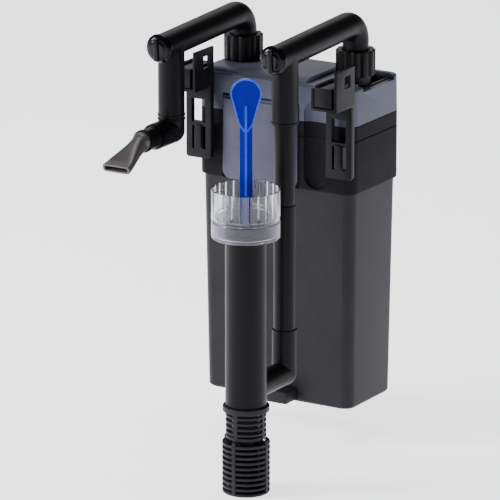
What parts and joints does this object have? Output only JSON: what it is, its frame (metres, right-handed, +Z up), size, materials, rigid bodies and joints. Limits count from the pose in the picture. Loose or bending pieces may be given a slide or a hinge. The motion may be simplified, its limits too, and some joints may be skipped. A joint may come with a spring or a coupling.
{
  "type": "hang on back filter",
  "caption": "Hang-on-back aquarium canister filter with a grey pump head, rim hangers, over-rim pipes, duckbill outlet and a surface skimmer inlet.",
  "frame": {"origin": "on the tank rim, midway between the two hangers, at the front plane of the filter's head", "axes": "+Z up, -Y towards the inside of the tank, +X to the right seen from the tank"},
  "size_m": [0.1473, 0.2271, 0.3346],
  "materials": {
    "head_grey": "satin moulded plastic, fine grain",
    "body_black": "satin moulded plastic, fine grain",
    "hanger_black": "satin moulded plastic with worn edges",
    "pipe_black": "semi-gloss moulded plastic",
    "smoky_cap": "polished smoky plastic",
    "clear_plastic": "clear polished plastic",
    "frosted_plastic": "frosted translucent plastic",
    "blue_plastic": "glossy translucent blue plastic",
    "rubber_black": "matt rubber",
    "steel": "turned stainless steel",
    "white_ceramic": "fired, unglazed",
    "magnet_grey": "dull grey magnet, coated",
    "sponge_dark": "open-cell foam",
    "filter_wool": "white fibre wool"
  },
  "bodies": {
    "head": {"head_cover": "head_grey", "top_tray": "body_black", "head_base": "body_black", "head_screw_1": "steel", "head_screw_2": "steel", "head_screw_3": "steel", "head_screw_4": "steel", "latch_pin": "steel", "cord_gland": "body_black", "motor_stator": "body_black", "rotor_well": "body_black", "impeller_shaft": "white_ceramic", "shaft_bush_top": "rubber_black", "shaft_bush_bottom": "rubber_black", "pump_volute": "body_black", "impeller_cover": "body_black", "outlet_port": "body_black", "inlet_port": "body_black", "riser_tube": "body_black", "hanger_arm_left": "hanger_black", "hanger_arm_right": "hanger_black", "outlet_union_seal": "rubber_black", "inlet_union_seal": "rubber_black"},
    "latch": {"front_latch": "head_grey"},
    "canister_body": {"canister": "body_black", "canister_seal": "rubber_black", "media_basket_lower": "body_black", "media_basket_upper": "body_black", "coarse_sponge": "sponge_dark", "ceramic_media": "white_ceramic", "fine_wool": "filter_wool"},
    "foot": {"spacer_foot": "body_black"},
    "impeller": {"impeller_rotor": "magnet_grey"},
    "outlet_nut": {"outlet_union_nut": "pipe_black"},
    "inlet_nut": {"inlet_union_nut": "pipe_black"},
    "outlet_pipe": {"outlet_arm": "pipe_black", "outlet_cap_seal": "rubber_black"},
    "inlet_top_pipe": {"inlet_arm": "pipe_black", "inlet_cap_seal": "rubber_black"},
    "outlet_end_cap": {"outlet_cap": "smoky_cap"},
    "inlet_end_cap": {"inlet_cap": "smoky_cap"},
    "outlet_swivel": {"outlet_elbow": "pipe_black"},
    "nozzle_ring": {"nozzle_collar": "pipe_black"},
    "nozzle": {"duckbill_nozzle": "pipe_black"},
    "inlet_drop": {"inlet_pipe": "pipe_black", "inlet_lower_pipe": "pipe_black", "inlet_elbow": "pipe_black", "skimmer_tower": "pipe_black", "skimmer_cup": "frosted_plastic"},
    "comb": {"skimmer_comb": "clear_plastic"},
    "handle": {"skimmer_handle": "blue_plastic", "valve_drum": "blue_plastic"},
    "strainer": {"strainer_cage": "body_black"},
    "sleeve": {"strainer_sleeve": "body_black"},
    "left_hanger": {"hanger_left": "hanger_black"},
    "right_hanger": {"hanger_right": "hanger_black"}
  },
  "joints": [
    {"name": "latch_open", "type": "hinge", "parent": "head", "child": "latch", "pos_m": [0, 0.002, -0.0115], "axis": [-1, 0, 0], "range_deg": [0, 45]},
    {"name": "canister_drop", "type": "slide", "parent": "head", "child": "canister_body", "axis": [0, 0, -1], "range_m": [0, 0.08]},
    {"name": "foot_slide", "type": "slide", "parent": "canister_body", "child": "foot", "axis": [0, -1, 0], "range_m": [-0.01, 0.004]},
    {"name": "impeller_spin", "type": "hinge", "parent": "head", "child": "impeller", "pos_m": [-0.008, 0.0364, -0.03], "axis": [0, 0, 1], "continuous": true},
    {"name": "outlet_nut_turn", "type": "hinge", "parent": "head", "child": "outlet_nut", "pos_m": [-0.0493, 0.0362, 0.02], "axis": [0, 0, 1], "range_deg": [0, 180]},
    {"name": "inlet_nut_turn", "type": "hinge", "parent": "head", "child": "inlet_nut", "pos_m": [0.0493, 0.0362, 0.02], "axis": [0, 0, 1], "range_deg": [0, 180]},
    {"name": "outlet_arm_swing", "type": "hinge", "parent": "head", "child": "outlet_pipe", "pos_m": [-0.0493, 0.0362, 0.03], "axis": [0, 0, 1], "range_deg": [-12, 4]},
    {"name": "inlet_arm_swing", "type": "hinge", "parent": "head", "child": "inlet_top_pipe", "pos_m": [0.0493, 0.0362, 0.03], "axis": [0, 0, 1], "range_deg": [-4, 12]},
    {"name": "outlet_cap_turn", "type": "hinge", "parent": "outlet_pipe", "child": "outlet_end_cap", "pos_m": [-0.0493, -0.082, 0.0429], "axis": [0, -0.9991, -0.0419], "range_deg": [0, 90]},
    {"name": "inlet_cap_turn", "type": "hinge", "parent": "inlet_top_pipe", "child": "inlet_end_cap", "pos_m": [0.0493, -0.082, 0.0463], "axis": [0, -0.9991, -0.0419], "range_deg": [0, 90]},
    {"name": "outlet_elbow_turn", "type": "hinge", "parent": "outlet_pipe", "child": "outlet_swivel", "pos_m": [-0.0493, -0.0676, -0.02], "axis": [0, 0, 1], "range_deg": [-60, 25]},
    {"name": "nozzle_roll", "type": "hinge", "parent": "outlet_swivel", "child": "nozzle_ring", "pos_m": [-0.0493, -0.1, -0.023], "axis": [0, -1, 0], "range_deg": [-45, 45]},
    {"name": "nozzle_tilt", "type": "hinge", "parent": "nozzle_ring", "child": "nozzle", "pos_m": [-0.0493, -0.109, -0.023], "axis": [1, 0, 0], "range_deg": [-15, 15]},
    {"name": "inlet_drop_slide", "type": "slide", "parent": "inlet_top_pipe", "child": "inlet_drop", "axis": [0, 0, 1], "range_m": [-0.008, 0.02]},
    {"name": "comb_float", "type": "slide", "parent": "inlet_drop", "child": "comb", "axis": [0, 0, 1], "range_m": [0, 0.005]},
    {"name": "handle_turn", "type": "hinge", "parent": "inlet_drop", "child": "handle", "pos_m": [0.0493, -0.1228, -0.05], "axis": [0, 0, 1], "range_deg": [-45, 45]},
    {"name": "strainer_pull", "type": "slide", "parent": "inlet_drop", "child": "strainer", "axis": [0, 0, -1], "range_m": [0, 0.025]},
    {"name": "sleeve_turn", "type": "hinge", "parent": "strainer", "child": "sleeve", "pos_m": [0.0493, -0.1228, -0.25], "axis": [0, 0, 1], "range_deg": [-45, 45]},
    {"name": "hanger_slide_left", "type": "slide", "parent": "head", "child": "left_hanger", "axis": [0, -1, 0], "range_m": [0, 0.012]},
    {"name": "hanger_slide_right", "type": "slide", "parent": "head", "child": "right_hanger", "axis": [0, -1, 0], "range_m": [0, 0.012]}
  ]
}
